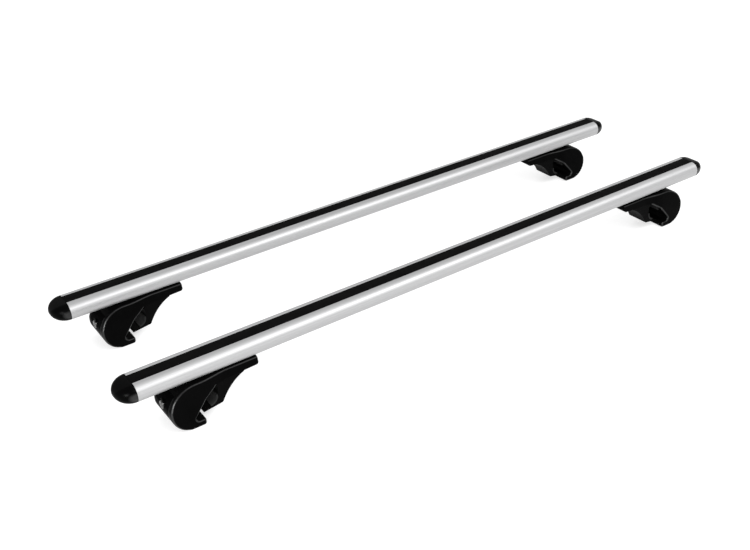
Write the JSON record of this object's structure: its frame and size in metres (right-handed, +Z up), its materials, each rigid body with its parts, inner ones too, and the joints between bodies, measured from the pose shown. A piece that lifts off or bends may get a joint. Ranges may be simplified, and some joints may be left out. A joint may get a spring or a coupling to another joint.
{
  "type": "pair of roof cross bars",
  "caption": "Pair of aluminium roof cross bars with rubber top strips, domed end caps and black clamp feet that hook round raised roof rails.",
  "frame": {"origin": "on the ground under the hooks of the feet, midway between the bars and between their ends", "axes": "+X along the bars, +Y from the front bar to the rear bar, +Z up"},
  "size_m": [1.2, 0.3272, 0.1034],
  "materials": {
    "bar_aluminium": "satin anodised",
    "strip_rubber": "matt",
    "cap_plastic": "satin",
    "foot_plastic": "satin",
    "cover_plastic": "gloss",
    "jaw_plastic": "satin",
    "pad_rubber": "matt",
    "zinc_steel": "zinc plated",
    "lock_metal": "nickel plated"
  },
  "bodies": {
    "bars": {"front_bar": "bar_aluminium", "front_strip": "strip_rubber", "front_left_cap": "cap_plastic", "front_right_cap": "cap_plastic", "rear_bar": "bar_aluminium", "rear_strip": "strip_rubber", "rear_left_cap": "cap_plastic", "rear_right_cap": "cap_plastic"},
    "front_left_foot": {"front_left_shell": "foot_plastic", "front_left_cover": "cover_plastic", "front_left_hook_pad": "pad_rubber", "front_left_gasket": "pad_rubber", "front_left_channel_bolt": "zinc_steel", "front_left_channel_nut": "zinc_steel"},
    "front_left_jaw": {"front_left_jaw": "jaw_plastic", "front_left_jaw_nut": "zinc_steel", "front_left_jaw_pad": "pad_rubber"},
    "front_left_screw": {"front_left_clamp_screw": "zinc_steel"},
    "front_left_lock": {"front_left_lock_barrel": "lock_metal", "front_left_lock_cam": "zinc_steel"},
    "front_right_foot": {"front_right_shell": "foot_plastic", "front_right_cover": "cover_plastic", "front_right_hook_pad": "pad_rubber", "front_right_gasket": "pad_rubber", "front_right_channel_bolt": "zinc_steel", "front_right_channel_nut": "zinc_steel"},
    "front_right_jaw": {"front_right_jaw": "jaw_plastic", "front_right_jaw_nut": "zinc_steel", "front_right_jaw_pad": "pad_rubber"},
    "front_right_screw": {"front_right_clamp_screw": "zinc_steel"},
    "front_right_lock": {"front_right_lock_barrel": "lock_metal", "front_right_lock_cam": "zinc_steel"},
    "rear_left_foot": {"rear_left_shell": "foot_plastic", "rear_left_cover": "cover_plastic", "rear_left_hook_pad": "pad_rubber", "rear_left_gasket": "pad_rubber", "rear_left_channel_bolt": "zinc_steel", "rear_left_channel_nut": "zinc_steel"},
    "rear_left_jaw": {"rear_left_jaw": "jaw_plastic", "rear_left_jaw_nut": "zinc_steel", "rear_left_jaw_pad": "pad_rubber"},
    "rear_left_screw": {"rear_left_clamp_screw": "zinc_steel"},
    "rear_left_lock": {"rear_left_lock_barrel": "lock_metal", "rear_left_lock_cam": "zinc_steel"},
    "rear_right_foot": {"rear_right_shell": "foot_plastic", "rear_right_cover": "cover_plastic", "rear_right_hook_pad": "pad_rubber", "rear_right_gasket": "pad_rubber", "rear_right_channel_bolt": "zinc_steel", "rear_right_channel_nut": "zinc_steel"},
    "rear_right_jaw": {"rear_right_jaw": "jaw_plastic", "rear_right_jaw_nut": "zinc_steel", "rear_right_jaw_pad": "pad_rubber"},
    "rear_right_screw": {"rear_right_clamp_screw": "zinc_steel"},
    "rear_right_lock": {"rear_right_lock_barrel": "lock_metal", "rear_right_lock_cam": "zinc_steel"}
  },
  "joints": [
    {"name": "front_left_foot_slide", "type": "slide", "parent": "bars", "child": "front_left_foot", "axis": [1, 0, 0], "range_m": [-0.02, 0.15]},
    {"name": "front_left_screw_turn", "type": "hinge", "parent": "front_left_foot", "child": "front_left_screw", "pos_m": [-0.507, -0.13, 0.0555], "axis": [-1, 0, 0], "range_deg": [0, 5760]},
    {"name": "front_left_jaw_slide", "type": "slide", "parent": "front_left_foot", "child": "front_left_jaw", "axis": [1, 0, 0], "range_m": [0, 0.02]},
    {"name": "front_left_lock_turn", "type": "hinge", "parent": "front_left_foot", "child": "front_left_lock", "pos_m": [-0.5335, -0.13, 0.04], "axis": [1, 0, 0], "range_deg": [0, 90]},
    {"name": "front_right_foot_slide", "type": "slide", "parent": "bars", "child": "front_right_foot", "axis": [-1, 0, 0], "range_m": [-0.02, 0.15]},
    {"name": "front_right_screw_turn", "type": "hinge", "parent": "front_right_foot", "child": "front_right_screw", "pos_m": [0.507, -0.13, 0.0555], "axis": [1, 0, 0], "range_deg": [0, 5760]},
    {"name": "front_right_jaw_slide", "type": "slide", "parent": "front_right_foot", "child": "front_right_jaw", "axis": [-1, 0, 0], "range_m": [0, 0.02]},
    {"name": "front_right_lock_turn", "type": "hinge", "parent": "front_right_foot", "child": "front_right_lock", "pos_m": [0.5335, -0.13, 0.04], "axis": [-1, 0, 0], "range_deg": [0, 90]},
    {"name": "rear_left_foot_slide", "type": "slide", "parent": "bars", "child": "rear_left_foot", "axis": [1, 0, 0], "range_m": [-0.02, 0.15]},
    {"name": "rear_left_screw_turn", "type": "hinge", "parent": "rear_left_foot", "child": "rear_left_screw", "pos_m": [-0.507, 0.13, 0.0555], "axis": [-1, 0, 0], "range_deg": [0, 5760]},
    {"name": "rear_left_jaw_slide", "type": "slide", "parent": "rear_left_foot", "child": "rear_left_jaw", "axis": [1, 0, 0], "range_m": [0, 0.02]},
    {"name": "rear_left_lock_turn", "type": "hinge", "parent": "rear_left_foot", "child": "rear_left_lock", "pos_m": [-0.5335, 0.13, 0.04], "axis": [1, 0, 0], "range_deg": [0, 90]},
    {"name": "rear_right_foot_slide", "type": "slide", "parent": "bars", "child": "rear_right_foot", "axis": [-1, 0, 0], "range_m": [-0.02, 0.15]},
    {"name": "rear_right_screw_turn", "type": "hinge", "parent": "rear_right_foot", "child": "rear_right_screw", "pos_m": [0.507, 0.13, 0.0555], "axis": [1, 0, 0], "range_deg": [0, 5760]},
    {"name": "rear_right_jaw_slide", "type": "slide", "parent": "rear_right_foot", "child": "rear_right_jaw", "axis": [-1, 0, 0], "range_m": [0, 0.02]},
    {"name": "rear_right_lock_turn", "type": "hinge", "parent": "rear_right_foot", "child": "rear_right_lock", "pos_m": [0.5335, 0.13, 0.04], "axis": [-1, 0, 0], "range_deg": [0, 90]}
  ]
}
